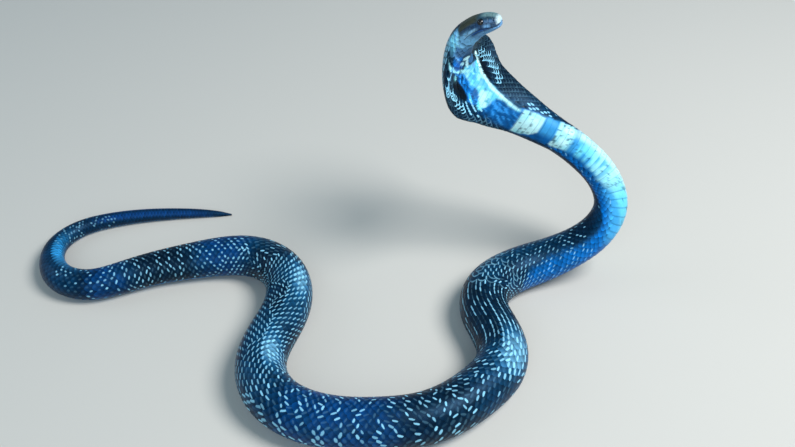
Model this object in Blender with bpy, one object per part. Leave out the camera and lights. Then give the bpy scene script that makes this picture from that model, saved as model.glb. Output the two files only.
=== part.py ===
"""Indian cobra, reared up with its hood spread: a still life-size model.

Metres, +Z up. The animal lies on the floor at z = 0, its head looks along +X, and the
origin is under the middle of its outline. The whole snake is one surface: a distance from
the snout and an angle round the body give a point on it. Thin cuts across the body part
it into the lengths that a person would name, each with its own object.
"""

import bpy
import bmesh
import numpy as np

# Driving dimensions, in metres
GAP = 0.0003                 # left open between pieces that touch
HEAD_LENGTH = 0.042          # snout to the cut behind the jaws
HOOD_END = 0.176             # where the ribs lie back against the neck
NECK_END = 0.264
FOREBODY_END = 0.352         # where the belly comes down to the floor
VENT = 1.215                 # where the tail begins
BODY_LENGTHS = 9             # pieces from the forebody to the vent
TAIL_LENGTHS = 3
BELLY_PRESS = 0.10           # share of the belly's depth that its weight flattens

# Belly plates: each starts tucked under the one in front and ends in a free edge
THROAT_PLATE_PITCH = 0.0095
NECK_PLATE_PITCH = 0.0110
PLATE_PITCH = 0.0140
TAIL_PLATE_PITCH = 0.0125
PLATE_RISE = 0.0009          # how far the free edge stands proud
PLATE_STEP = 0.0007          # how much length the drop behind it takes
PLATE_HALF_ANGLE = 0.95      # radians either side of the belly line
THROAT_PLATES_START = 0.046

SIDES = 24                   # flats round the body

# Hood: skin stretched over the long neck ribs, on both sides of the gullet
WING_MOST = 0.037            # the furthest that a wing reaches past the gullet
RIB_CHORD = 0.020            # half the stretch of backbone that a rib's direction follows
SHORT_CHORD = 0.001          # and the same elsewhere
WING_SPREAD = 2.4            # power that keeps the gullet round between the wings
WING_CURL = 0.008            # how far the rims bend forward
WING_RIM = 0.22              # share of the thickness kept at the rim
BACK_HOLLOW = 0.35           # how much sooner the wings thin out, on each side
THROAT_HOLLOW = 1.7

# Head
HEAD_SQUARENESS = 2.35       # power of the head's oval section, 2 is an ellipse
MOUTH_END = 0.0325           # corner of the mouth, from the snout
MOUTH_DEPTH = 0.0006
LIP_SWELL = 0.0003
EYE_FROM_SNOUT = 0.0150
EYE_ANGLE = 1.10             # radians from the crown
EYE_RADIUS = 0.0032
EYE_SHOWS = 0.0012           # how far the ball stands out of the head
BROW_RISE = 0.0007
NOSTRIL_FROM_SNOUT = 0.0042
NOSTRIL_ANGLE = 1.12
NOSTRIL_RADIUS = 0.00065
HEAD_RINGS = 30

# Middle line from snout to tail tip: place, and the way that the belly faces.
# A height of None means that the body lies on the floor there.
PLACE = (-0.0006, 0.0015)    # brings the middle of the outline over the origin
DOWN = (0.0, 0.0, -1.0)
ROUTE = [
    (0.1564, 0.0998, 0.2556, (0.42, -0.28, -0.86)),
    (0.1456, 0.1035, 0.2514, (0.46, -0.30, -0.83)),
    (0.1387, 0.1055, 0.2479, (0.58, -0.34, -0.74)),
    (0.1320, 0.1095, 0.2406, (0.72, -0.36, -0.60)),
    (0.1269, 0.1130, 0.2319, (0.82, -0.38, -0.42)),
    (0.1231, 0.1160, 0.2214, (0.89, -0.40, -0.22)),
    (0.1219, 0.1185, 0.2089, (0.91, -0.41, 0.00)),
    (0.1257, 0.1200, 0.1958, (0.85, -0.44, 0.28)),
    (0.1353, 0.1195, 0.1825, (0.70, -0.48, 0.52)),
    (0.1495, 0.1175, 0.1720, (0.45, -0.57, 0.69)),
    (0.1665, 0.1148, 0.1629, (0.20, -0.77, 0.60)),
    (0.1827, 0.1120, 0.1544, (0.11, -0.88, 0.46)),
    (0.2001, 0.1095, 0.1439, (0.17, -0.86, 0.48)),
    (0.2235, 0.1060, 0.1300, (0.24, -0.76, 0.61)),
    (0.2473, 0.1000, 0.1124, (0.42, -0.70, 0.58)),
    (0.2654, 0.0910, 0.0932, (0.60, -0.66, 0.45)),
    (0.2714, 0.0770, 0.0740, (0.78, -0.58, 0.15)),
    (0.2622, 0.0680, 0.0530, (0.74, -0.38, -0.48)),
    (0.2416, 0.0630, 0.0350, (0.40, -0.16, -0.90)),
    (0.2140, 0.0575, 0.0230, (0.08, -0.05, -1.00)),
    (0.1780, 0.0440, None, DOWN),
    (0.1540, 0.0200, None, DOWN),
    (0.1480, -0.0080, None, DOWN),
    (0.1550, -0.0340, None, DOWN),
    (0.1600, -0.0610, None, DOWN),
    (0.1540, -0.0840, None, DOWN),
    (0.1400, -0.1020, None, DOWN),
    (0.1170, -0.1220, None, DOWN),
    (0.0890, -0.1360, None, DOWN),
    (0.0580, -0.1410, None, DOWN),
    (0.0260, -0.1410, None, DOWN),
    (-0.0080, -0.1330, None, DOWN),
    (-0.0360, -0.1130, None, DOWN),
    (-0.0500, -0.0810, None, DOWN),
    (-0.0460, -0.0460, None, DOWN),
    (-0.0360, -0.0130, None, DOWN),
    (-0.0340, 0.0180, None, DOWN),
    (-0.0460, 0.0490, None, DOWN),
    (-0.0720, 0.0670, None, DOWN),
    (-0.1000, 0.0690, None, DOWN),
    (-0.1300, 0.0640, None, DOWN),
    (-0.1640, 0.0550, None, DOWN),
    (-0.1950, 0.0420, None, DOWN),
    (-0.2240, 0.0320, None, DOWN),
    (-0.2500, 0.0380, None, DOWN),
    (-0.2720, 0.0660, None, DOWN),
    (-0.2740, 0.0980, None, DOWN),
    (-0.2590, 0.1220, None, DOWN),
    (-0.2320, 0.1370, None, DOWN),
    (-0.1980, 0.1460, None, DOWN),
    (-0.1610, 0.1510, None, DOWN),
    (-0.1310, 0.1530, None, DOWN),
    (-0.1080, 0.1540, None, DOWN),
]

# Girth, in millimetres: distance from the snout, half width, back height, belly depth.
# In the hood this is the gullet alone.
GIRTH = [
    (0.0, 2.4, 1.8, 2.4),
    (0.8, 4.9, 3.7, 4.2),
    (2.5, 7.0, 5.5, 5.4),
    (5.0, 8.5, 6.9, 6.3),
    (9.0, 10.0, 8.2, 7.4),
    (14.0, 11.3, 9.0, 8.2),
    (19.0, 12.3, 9.3, 8.8),
    (25.0, 13.5, 9.8, 9.6),
    (31.0, 14.0, 10.6, 10.0),
    (37.0, 13.6, 11.6, 10.4),
    (44.0, 13.0, 12.0, 11.0),
    (60.0, 12.8, 11.8, 12.0),
    (90.0, 13.2, 11.4, 12.4),
    (130.0, 14.4, 13.0, 13.2),
    (165.0, 15.4, 15.2, 14.2),
    (270.0, 15.8, 16.0, 15.0),
    (330.0, 18.5, 18.4, 17.0),
    (390.0, 21.8, 21.0, 19.4),
    (480.0, 22.6, 21.8, 20.2),
    (850.0, 22.2, 21.4, 19.8),
    (980.0, 20.6, 20.0, 18.4),
    (1060.0, 17.2, 16.8, 15.4),
    (1120.0, 15.6, 15.2, 14.0),
    (1160.0, 14.4, 14.0, 12.8),
    (1200.0, 11.6, 11.4, 10.4),
    (1240.0, 9.2, 9.2, 8.4),
    (1320.0, 7.0, 7.0, 6.4),
    (1365.0, 5.2, 5.2, 4.8),
    (1395.0, 3.0, 3.0, 2.8),
    (1407.0, 1.0, 1.0, 1.0),
]

# How far the hood's wings reach past the gullet, in millimetres, by distance from the snout
WINGS = [(34.0, 0.0), (46.0, 7.0), (56.0, 18.5), (64.0, 27.0), (73.0, 33.5), (84.0, 37.0),
         (94.0, 35.0), (104.0, 28.5), (118.0, 18.0), (145.0, 7.0), (170.0, 2.5), (194.0, 0.0)]

# Height of the mouth line under the middle of the head, in millimetres
MOUTH = [(0.0, 2.2), (2.0, 2.8), (8.0, 2.6), (14.0, 1.9), (20.0, 1.3), (26.0, 1.0), (32.5, 1.1)]

# Colours by sRGB value and roughness
FINISHES = {
    "dark_back_scales": ("0D2A45", 0.35),
    "hood_skin": ("123A66", 0.38),
    "pale_belly_plates": ("9FDDEC", 0.40),
    "head_shields": ("24405A", 0.33),
    "eye_black": ("05070A", 0.06),
}


def smooth_table(table, at):
    """Read a table of sizes at any distance, with a smooth curve that doesn't overshoot."""
    rows = np.array(table, float)
    x, y = rows[:, 0], rows[:, 1:]
    step = np.diff(x)[:, None]
    rise = np.diff(y, axis=0) / step
    slope = np.zeros_like(y)
    same_way = rise[:-1] * rise[1:] > 0
    total = rise[:-1] + rise[1:]
    slope[1:-1] = np.where(same_way, 2 * rise[:-1] * rise[1:] / np.where(same_way, total, 1), 0)
    slope[0], slope[-1] = rise[0], rise[-1]
    at = np.clip(np.asarray(at, float), x[0], x[-1])
    k = np.clip(np.searchsorted(x, at, side="right") - 1, 0, len(x) - 2)
    h = step[k]
    u = (at - x[k])[..., None] / h
    return ((1 + 2 * u) * (1 - u) ** 2 * y[k] + u * (1 - u) ** 2 * h * slope[k]
            + u * u * (3 - 2 * u) * y[k + 1] + u * u * (u - 1) * h * slope[k + 1])


def smooth_step(low, high, x):
    """0 below low, 1 above high, and a soft rise between."""
    u = np.clip((x - low) / (high - low), 0, 1)
    return u * u * (3 - 2 * u)


def unit(v):
    return v / np.linalg.norm(v, axis=-1, keepdims=True)


def half_sizes(s):
    """Half width, back height and belly depth of the body at a distance from the snout."""
    return np.moveaxis(smooth_table(GIRTH, np.asarray(s) * 1000) / 1000, -1, 0)


def trace_middle_line(steps=24):
    """Points along the middle line, close together, with the belly's direction at each."""
    knots = np.array([(x + PLACE[0], y + PLACE[1], 0 if z is None else z)
                      for x, y, z, _ in ROUTE])
    belly = np.array([way for _, _, _, way in ROUTE])
    lies = np.array([z is None for _, _, z, _ in ROUTE])
    chord = np.r_[0, np.cumsum(np.linalg.norm(np.diff(knots, axis=0), axis=1))]
    knots[lies, 2] = half_sizes(chord)[2][lies] * (1 - BELLY_PRESS)
    fine = np.concatenate([np.linspace(a, b, steps, endpoint=False)
                           for a, b in zip(chord[:-1], chord[1:])] + [chord[-1:]])
    line = spline_through(chord, knots, fine)
    facing = spline_through(chord, belly, fine)
    return line, facing


def spline_through(x, y, at):
    """Natural cubic spline through points y at x, read at the given places."""
    n = len(x)
    h = np.diff(x)
    matrix = np.eye(n)
    right = np.zeros((n, y.shape[1]))
    for i in range(1, n - 1):
        matrix[i, i - 1:i + 2] = h[i - 1], 2 * (h[i - 1] + h[i]), h[i]
        right[i] = 6 * ((y[i + 1] - y[i]) / h[i] - (y[i] - y[i - 1]) / h[i - 1])
    bend = np.linalg.solve(matrix, right)
    k = np.clip(np.searchsorted(x, at, side="right") - 1, 0, n - 2)
    a = ((x[k + 1] - at) / h[k])[:, None]
    b = 1 - a
    return (a * y[k] + b * y[k + 1]
            + ((a ** 3 - a) * bend[k] + (b ** 3 - b) * bend[k + 1]) * h[k][:, None] ** 2 / 6)


LINE, FACING = trace_middle_line()
ALONG = np.r_[0, np.cumsum(np.linalg.norm(np.diff(LINE, axis=0), axis=1))]
LENGTH = float(ALONG[-1])


def read_line(values, s):
    s = np.asarray(s, float)
    return np.stack([np.interp(s, ALONG, values[:, k]) for k in range(3)], -1)


def wing_reach(s):
    """How far each wing of the hood reaches past the gullet."""
    return smooth_table(WINGS, np.asarray(s) * 1000)[..., 0] / 1000


def body_frame(s):
    """Middle point, direction to the tail, belly direction and the snake's right side.

    In the hood the direction follows the long ribs, so it turns less than the backbone.
    """
    middle = read_line(LINE, s)
    chord = SHORT_CHORD + RIB_CHORD * wing_reach(s) / WING_MOST
    tailward = unit(read_line(LINE, s + chord) - read_line(LINE, s - chord))
    belly = read_line(FACING, s)
    belly = unit(belly - tailward * (belly * tailward).sum(-1, keepdims=True))
    right = np.cross(tailward, belly)
    return middle, tailward, belly, right


def section(s, angle):
    """Sideways and upward offset of the skin from the middle line.

    The angle runs from the middle of the back, 0, over the right side to the belly, pi.
    """
    half_width, back, depth = half_sizes(s)
    wing = wing_reach(s)
    spread = wing / WING_MOST
    squareness = 2 + (HEAD_SQUARENESS - 2) * (1 - smooth_step(0.7, 1.2, s / HEAD_LENGTH))
    sine, cosine = np.sin(angle), np.cos(angle)
    q = np.abs(sine) ** (2 / squareness)
    c = np.abs(cosine) ** (2 / squareness)
    over = cosine > 0
    power = 1 + spread * np.where(over, BACK_HOLLOW, THROAT_HOLLOW)
    rim = spread * WING_RIM
    height = np.where(over, back, -depth) * ((1 - rim) * c ** power + rim * c ** 0.5)
    sideways = half_width * q + wing * q ** WING_SPREAD
    height = height - WING_CURL * spread * (sideways / (half_width + wing)) ** 2
    return np.sign(sine) * sideways, height


def skin_point(s, angle, raised=0.0):
    """A point on the snake. raised lifts it off the skin; the floor flattens the belly."""
    s, angle, raised = np.broadcast_arrays(np.asarray(s, float), angle, raised)
    middle, _, belly, right = body_frame(s)
    sideways, height = section(s, angle)
    point = middle + right * sideways[..., None] - belly * height[..., None]
    outward = unit(point - middle)
    point = point + outward * raised[..., None]
    point[..., 2] = np.maximum(point[..., 2], 0)
    return point


def mouth_angle(s):
    """Angle round the head at which the lips meet."""
    under = smooth_table(MOUTH, np.minimum(s, MOUTH_END) * 1000)[..., 0] / 1000
    depth = half_sizes(np.minimum(s, MOUTH_END))[2]
    return np.pi - np.arccos((under / depth) ** (HEAD_SQUARENESS / 2))


def head_relief(s, angle):
    """Lips, mouth line and brow: how far the head's skin stands out of its plain form."""
    around = np.abs(angle)
    girth = half_sizes(s)[0]
    lip = (around - mouth_angle(s)) * girth
    fade = smooth_step(0.0, 0.0012, s) * (1 - smooth_step(MOUTH_END - 0.002, MOUTH_END, s))
    groove = -MOUTH_DEPTH * np.exp(-(lip / 0.00035) ** 2)
    swell = LIP_SWELL * np.exp(-((np.abs(lip) - 0.0016) / 0.0011) ** 2)
    away = (s - EYE_FROM_SNOUT + 0.0006) / 0.0038
    up = (around - EYE_ANGLE) * girth + 0.0034
    brow = BROW_RISE * np.exp(-away ** 4 - (up / 0.0010) ** 2)
    return (groove + swell) * fade + brow


def head_columns(s):
    """Angles round the head, with a column on the mouth line and one on each lip."""
    mouth = mouth_angle(s)
    upper = np.array([0.0, 0.16, 0.32, 0.46, 0.58, 0.69, 0.79]) * (mouth - 0.19)
    upper = np.r_[upper, mouth - np.array([0.19, 0.055])]
    under = np.pi - mouth
    lower = np.r_[mouth + np.array([0.055, 0.19]), mouth + under * np.array([0.45, 0.64, 0.82])]
    right = np.r_[upper, mouth, lower]
    return np.r_[right, np.pi, 2 * np.pi - right[:0:-1]]


def loft(name, rings):
    """One closed object from rings of points, its two ends closed by fans."""
    bm = bmesh.new()
    rows = [[bm.verts.new(p) for p in ring] for ring in rings]
    count = len(rows[0])
    for near, far in zip(rows, rows[1:]):
        for k in range(count):
            nxt = (k + 1) % count
            bm.faces.new((near[k], near[nxt], far[nxt], far[k]))
    for row, ring in ((rows[0], rings[0]), (rows[-1], rings[-1])):
        hub = bm.verts.new(np.mean(ring, axis=0))
        for k in range(count):
            bm.faces.new((row[k], row[(k + 1) % count], hub))
    bmesh.ops.triangulate(bm, faces=bm.faces[:])
    bmesh.ops.recalc_face_normals(bm, faces=bm.faces[:])
    mesh = bpy.data.meshes.new(name)
    bm.to_mesh(mesh)
    bm.free()
    return bpy.data.objects.new(name, mesh)


def parallel_end(ring, s, shift):
    """Flatten a ring on to the plane square to the body at s, moved along by shift."""
    middle, tailward, _, _ = body_frame(s)
    off = (ring - middle) @ tailward
    return ring + np.outer(shift - off, tailward)


def plate_rows(start, end, pitch, parts):
    """Ring places of the belly plates, with how far the plate stands up at each."""
    count = max(1, round((end - start) / pitch))
    edges = np.linspace(start, end, count + 1)
    rows = []
    for near, far in zip(edges, edges[1:]):
        for share in np.linspace(0, 1, parts + 1):
            rows.append((near + (far - PLATE_STEP - near) * share, share))
    rows.append((end, 0.0))
    return rows


def make_length(name, start, end, pitch, parts=1):
    """A length of the body, with its belly plates stepped along the underside."""
    angles = np.arange(SIDES) * 2 * np.pi / SIDES
    from_belly = np.abs(angles - np.pi)
    on_plate = 1 - smooth_step(PLATE_HALF_ANGLE, PLATE_HALF_ANGLE + 0.2, from_belly)
    rings = []
    for s, share in plate_rows(start, end, pitch, parts):
        rise = PLATE_RISE * min(1.0, half_sizes(s)[0] / 0.015) * (s > THROAT_PLATES_START)
        rings.append(skin_point(s, angles, on_plate * rise * share))
    rings[0] = parallel_end(rings[0], start, GAP / 2)
    last = end - (GAP / 2 if end < LENGTH else 0)
    rings[-1] = parallel_end(rings[-1], end, last - end)
    for ring in rings:
        ring[:, 2] = np.maximum(ring[:, 2], 0)
    return loft(name, rings)


def make_head():
    """Skull and jaws, with the mouth line, lips and brows raised in its own surface."""
    places = HEAD_LENGTH * np.linspace(0, 1, HEAD_RINGS) ** 1.25
    rings = []
    for s in places:
        angles = head_columns(s)
        around = np.where(angles > np.pi, 2 * np.pi - angles, angles)
        rings.append(skin_point(s, angles, head_relief(s, around)))
    rings[-1] = parallel_end(rings[-1], HEAD_LENGTH, -GAP / 2)
    return loft("head", rings)


def head_place(s, angle, depth):
    """A point under the head's skin, and the way out of the head there."""
    point = skin_point(s, angle)
    ahead = skin_point(s + 0.0002, angle) - skin_point(s - 0.0002, angle)
    across = skin_point(s, angle + 0.01) - skin_point(s, angle - 0.01)
    out = unit(np.cross(ahead, across))
    middle = body_frame(s)[0]
    if np.dot(out, point - middle) < 0:
        out = -out
    return point - out * depth, out


def make_ball(name, centre, radius, segments, rings):
    bm = bmesh.new()
    bmesh.ops.create_uvsphere(bm, u_segments=segments, v_segments=rings, radius=radius)
    bmesh.ops.translate(bm, verts=bm.verts[:], vec=centre)
    mesh = bpy.data.meshes.new(name)
    bm.to_mesh(mesh)
    bm.free()
    return bpy.data.objects.new(name, mesh)


def finish_material(name):
    colour, roughness = FINISHES[name]
    linear = [int(colour[k:k + 2], 16) / 255 for k in (0, 2, 4)]
    linear = [c / 12.92 if c <= 0.04045 else ((c + 0.055) / 1.055) ** 2.4 for c in linear]
    material = bpy.data.materials.new(name)
    material.use_nodes = True
    shader = material.node_tree.nodes["Principled BSDF"]
    shader.inputs["Base Color"].default_value = (*linear, 1)
    shader.inputs["Roughness"].default_value = roughness
    shader.inputs["Metallic"].default_value = 0.0
    material.diffuse_color = (*linear, 1)
    return material


def cut_out(piece, cutter):
    cut = piece.modifiers.new(cutter.name, "BOOLEAN")
    cut.operation = "DIFFERENCE"
    cut.solver = "EXACT"
    cut.object = cutter


def main():
    for old in list(bpy.data.objects):
        bpy.data.objects.remove(old, do_unlink=True)
    scene = bpy.context.scene
    parts = bpy.data.collections.new("indian_cobra")
    cutters = bpy.data.collections.new("cutters")
    scene.collection.children.link(parts)
    scene.collection.children.link(cutters)
    finishes = {name: finish_material(name) for name in FINISHES}

    def keep(piece, finish):
        parts.objects.link(piece)
        piece.data.materials.append(finishes[finish])
        piece.data.shade_smooth()
        piece.data.set_sharp_from_angle(angle=np.radians(35))

    head = make_head()
    keep(head, "head_shields")
    for side, turn in (("right", 1), ("left", -1)):
        centre, _ = head_place(EYE_FROM_SNOUT, turn * EYE_ANGLE, EYE_RADIUS - EYE_SHOWS)
        keep(make_ball("eye_" + side, centre, EYE_RADIUS, 16, 10), "eye_black")
        hole, _ = head_place(NOSTRIL_FROM_SNOUT, turn * NOSTRIL_ANGLE, 0.0)
        for cutter in (make_ball("socket_" + side, centre, EYE_RADIUS + GAP, 20, 12),
                       make_ball("nostril_" + side, hole, NOSTRIL_RADIUS, 8, 6)):
            cutters.objects.link(cutter)
            cutter.hide_render = True
            cutter.display_type = "WIRE"
            cut_out(head, cutter)

    keep(make_length("hood", HEAD_LENGTH, HOOD_END, THROAT_PLATE_PITCH, 2), "hood_skin")
    keep(make_length("neck", HOOD_END, NECK_END, NECK_PLATE_PITCH), "pale_belly_plates")
    keep(make_length("forebody", NECK_END, FOREBODY_END, NECK_PLATE_PITCH),
         "dark_back_scales")
    cuts = np.linspace(FOREBODY_END, VENT, BODY_LENGTHS + 1)
    for k, (start, end) in enumerate(zip(cuts, cuts[1:])):
        keep(make_length(f"body_{k + 1:02d}", start, end, PLATE_PITCH), "dark_back_scales")
    cuts = np.linspace(VENT, LENGTH, TAIL_LENGTHS + 1)
    for k, (start, end) in enumerate(zip(cuts, cuts[1:])):
        keep(make_length(f"tail_{k + 1:02d}", start, end, TAIL_PLATE_PITCH), "dark_back_scales")


main()
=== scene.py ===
"""Looks of an Indian cobra with its hood spread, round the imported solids.

Metres, +Z up. One skin runs from the snout to the tail tip. Over it lie the small
scales of the back, the broad plates of the belly and the paired plates under the tail,
each a thin domed solid. The head's shields, lips and nostrils are raised in the skin
itself. A distance from the snout and a way round the body place everything.
"""

import bpy
import bmesh
import numpy as np
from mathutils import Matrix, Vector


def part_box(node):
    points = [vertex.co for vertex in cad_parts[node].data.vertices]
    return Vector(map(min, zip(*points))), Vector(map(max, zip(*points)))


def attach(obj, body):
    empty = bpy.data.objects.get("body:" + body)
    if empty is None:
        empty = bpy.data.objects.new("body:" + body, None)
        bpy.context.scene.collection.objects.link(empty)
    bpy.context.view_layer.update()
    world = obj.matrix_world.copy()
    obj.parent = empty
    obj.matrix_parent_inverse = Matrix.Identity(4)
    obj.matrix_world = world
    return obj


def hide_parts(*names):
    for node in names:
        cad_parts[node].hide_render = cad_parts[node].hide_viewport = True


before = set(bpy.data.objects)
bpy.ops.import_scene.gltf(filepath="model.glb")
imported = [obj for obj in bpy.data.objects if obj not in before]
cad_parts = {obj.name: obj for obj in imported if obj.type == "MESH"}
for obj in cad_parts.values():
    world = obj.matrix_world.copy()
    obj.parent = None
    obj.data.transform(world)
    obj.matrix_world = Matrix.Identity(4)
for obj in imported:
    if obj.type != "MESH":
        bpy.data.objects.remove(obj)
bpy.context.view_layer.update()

SEED = 7
HEAD_LENGTH = 0.042
VENT = 1.215                 # where the tail begins
COAT_DEPTH = 0.0006          # the skin lies this far inside the solids, under its scales

# The snake's middle line from snout to tail tip, and how far all of it is shifted on the
# floor. First where it is raised: place, and the way that the belly faces.
PLACE = (-0.0006, 0.0015)
RAISED = [
    (0.1564, 0.0998, 0.2556, (0.42, -0.28, -0.86)),
    (0.1456, 0.1035, 0.2514, (0.46, -0.30, -0.83)),
    (0.1387, 0.1055, 0.2479, (0.58, -0.34, -0.74)),
    (0.1320, 0.1095, 0.2406, (0.72, -0.36, -0.60)),
    (0.1269, 0.1130, 0.2319, (0.82, -0.38, -0.42)),
    (0.1231, 0.1160, 0.2214, (0.89, -0.40, -0.22)),
    (0.1219, 0.1185, 0.2089, (0.91, -0.41, 0.00)),
    (0.1257, 0.1200, 0.1958, (0.85, -0.44, 0.28)),
    (0.1353, 0.1195, 0.1825, (0.70, -0.48, 0.52)),
    (0.1495, 0.1175, 0.1720, (0.45, -0.57, 0.69)),
    (0.1665, 0.1148, 0.1629, (0.20, -0.77, 0.60)),
    (0.1827, 0.1120, 0.1544, (0.11, -0.88, 0.46)),
    (0.2001, 0.1095, 0.1439, (0.17, -0.86, 0.48)),
    (0.2235, 0.1060, 0.1300, (0.24, -0.76, 0.61)),
    (0.2473, 0.1000, 0.1124, (0.42, -0.70, 0.58)),
    (0.2654, 0.0910, 0.0932, (0.60, -0.66, 0.45)),
    (0.2714, 0.0770, 0.0740, (0.78, -0.58, 0.15)),
    (0.2622, 0.0680, 0.0530, (0.74, -0.38, -0.48)),
    (0.2416, 0.0630, 0.0350, (0.40, -0.16, -0.90)),
    (0.2140, 0.0575, 0.0230, (0.08, -0.05, -1.00)),
]
# Then where it lies on the floor, belly down
LYING = [
    (0.178, 0.044), (0.154, 0.020), (0.148, -0.008), (0.155, -0.034), (0.160, -0.061),
    (0.154, -0.084), (0.140, -0.102), (0.117, -0.122), (0.089, -0.136), (0.058, -0.141),
    (0.026, -0.141), (-0.008, -0.133), (-0.036, -0.113), (-0.050, -0.081), (-0.046, -0.046),
    (-0.036, -0.013), (-0.034, 0.018), (-0.046, 0.049), (-0.072, 0.067), (-0.100, 0.069),
    (-0.130, 0.064), (-0.164, 0.055), (-0.195, 0.042), (-0.224, 0.032), (-0.250, 0.038),
    (-0.272, 0.066), (-0.274, 0.098), (-0.259, 0.122), (-0.232, 0.137), (-0.198, 0.146),
    (-0.161, 0.151), (-0.131, 0.153), (-0.108, 0.154),
]

# Girth, in millimetres: distance from the snout, half width, back height, belly depth
GIRTH = [
    (0, 2.4, 1.8, 2.4), (0.8, 4.9, 3.7, 4.2), (2.5, 7, 5.5, 5.4), (5, 8.5, 6.9, 6.3),
    (9, 10, 8.2, 7.4), (14, 11.3, 9, 8.2), (19, 12.3, 9.3, 8.8),
    (25, 13.5, 9.8, 9.6), (31, 14, 10.6, 10), (37, 13.6, 11.6, 10.4),
    (44, 13, 12, 11), (60, 12.8, 11.8, 12), (90, 13.2, 11.4, 12.4),
    (130, 14.4, 13, 13.2), (165, 15.4, 15.2, 14.2), (270, 15.8, 16, 15),
    (330, 18.5, 18.4, 17), (390, 21.8, 21, 19.4), (480, 22.6, 21.8, 20.2),
    (850, 22.2, 21.4, 19.8), (980, 20.6, 20, 18.4), (1060, 17.2, 16.8, 15.4),
    (1120, 15.6, 15.2, 14), (1160, 14.4, 14, 12.8), (1200, 11.6, 11.4, 10.4),
    (1240, 9.2, 9.2, 8.4), (1320, 7, 7, 6.4), (1365, 5.2, 5.2, 4.8),
    (1395, 3, 3, 2.8), (1407, 1, 1, 1),
]

# How far the hood's wings reach past the gullet, in millimetres, by distance from the snout
WINGS = [(34, 0), (46, 7), (56, 18.5), (64, 27), (73, 33.5), (84, 37),
         (94, 35), (104, 28.5), (118, 18), (145, 7), (170, 2.5), (194, 0)]
WING_MOST = 0.037            # how far they reach where the hood is widest
RIB_CHORD = 0.020            # half the stretch of backbone that a rib's direction follows
SHORT_CHORD = 0.001          # the same where there is no hood
WING_SPREAD = 2.4            # how sharply the wings stand out at the sides
WING_CURL = 0.008            # how far their rims curl towards the throat
WING_RIM = 0.22              # how much of the body's thickness is left at the rims
BACK_HOLLOW = 0.35           # how fast the wings thin out from the gullet, seen from behind
THROAT_HOLLOW = 1.7          # and from the front
BELLY_PRESS = 0.10           # share of the belly's depth that its weight presses flat

HEAD_SQUARENESS = 2.35       # 2 is an oval head
# How far below the middle line the lips meet, in millimetres, by distance from the snout
MOUTH = [(0, 2.2), (2, 2.8), (8, 2.6), (14, 1.9), (20, 1.3), (26, 1), (32.5, 1.1)]
MOUTH_END = 0.0325
EYE_FROM_SNOUT = 0.0150
EYE_ANGLE = 1.10             # from the crown, as all angles round the head
EYE_RADIUS = 0.0032
EYE_OPENING = 0.0026         # radius of the clear scale over the eye
NOSTRIL_FROM_SNOUT = 0.0042
NOSTRIL_ANGLE = 1.12

# By distance from the snout, all in millimetres: half width of the belly plates, and the
# distance from each ring of scales to the next. A snake has one belly plate a ring.
PLATE_HALF = [(30, 5), (46, 9), (60, 12), (84, 13.5), (120, 14), (200, 15.5),
              (330, 18), (400, 20.5), (850, 20.5), (1000, 19), (1100, 15),
              (1200, 10.5), (1240, 8), (1300, 6.4), (1407, 2)]
RING_PITCH = [(28, 3.2), (45, 4), (65, 4.7), (110, 5), (150, 5.7), (220, 6.2),
              (1000, 6.2), (1180, 5.2), (1240, 3.8), (1407, 3)]
# How many rows of scales lie side by side across the back
SCALE_ROWS = [(28, 21), (60, 27), (84, 51), (120, 37), (200, 25),
              (300, 23), (900, 23), (1000, 21), (1100, 17), (1200, 15),
              (1250, 12), (1320, 8), (1407, 4)]


def smooth_table(table, at):
    """Read a table of sizes at any distance, with a smooth curve that doesn't overshoot."""
    rows = np.array(table, float)
    x, y = rows[:, 0], rows[:, 1:]
    step = np.diff(x)[:, None]
    rise = np.diff(y, axis=0) / step
    slope = np.zeros_like(y)
    same_way = rise[:-1] * rise[1:] > 0
    total = rise[:-1] + rise[1:]
    slope[1:-1] = np.where(same_way, 2 * rise[:-1] * rise[1:] / np.where(same_way, total, 1), 0)
    slope[0], slope[-1] = rise[0], rise[-1]
    at = np.clip(np.asarray(at, float), x[0], x[-1])
    k = np.clip(np.searchsorted(x, at, side="right") - 1, 0, len(x) - 2)
    h = step[k]
    u = (at - x[k])[..., None] / h
    return ((1 + 2 * u) * (1 - u) ** 2 * y[k] + u * (1 - u) ** 2 * h * slope[k]
            + u * u * (3 - 2 * u) * y[k + 1] + u * u * (u - 1) * h * slope[k + 1])


def size_at(table, s):
    """A size from a table in millimetres, at a distance in metres."""
    return smooth_table(table, np.asarray(s) * 1000)[..., 0]


def ramp(low, high, x):
    """0 below low, 1 above high, and a soft rise between."""
    u = np.clip((x - low) / (high - low), 0, 1)
    return u * u * (3 - 2 * u)


def unit(v):
    return v / np.maximum(np.linalg.norm(v, axis=-1, keepdims=True), 1e-12)


def spline_through(x, y, at):
    """Natural cubic spline through points y at x, read at the given places."""
    n = len(x)
    h = np.diff(x)
    matrix = np.eye(n)
    right = np.zeros((n, y.shape[1]))
    for i in range(1, n - 1):
        matrix[i, i - 1:i + 2] = h[i - 1], 2 * (h[i - 1] + h[i]), h[i]
        right[i] = 6 * ((y[i + 1] - y[i]) / h[i] - (y[i] - y[i - 1]) / h[i - 1])
    bend = np.linalg.solve(matrix, right)
    k = np.clip(np.searchsorted(x, at, side="right") - 1, 0, n - 2)
    a = ((x[k + 1] - at) / h[k])[:, None]
    b = 1 - a
    return (a * y[k] + b * y[k + 1]
            + ((a ** 3 - a) * bend[k] + (b ** 3 - b) * bend[k + 1]) * h[k][:, None] ** 2 / 6)


def half_sizes(s):
    """Half width, back height and belly depth of the body at a distance from the snout."""
    return np.moveaxis(smooth_table(GIRTH, np.asarray(s) * 1000) / 1000, -1, 0)


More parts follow.
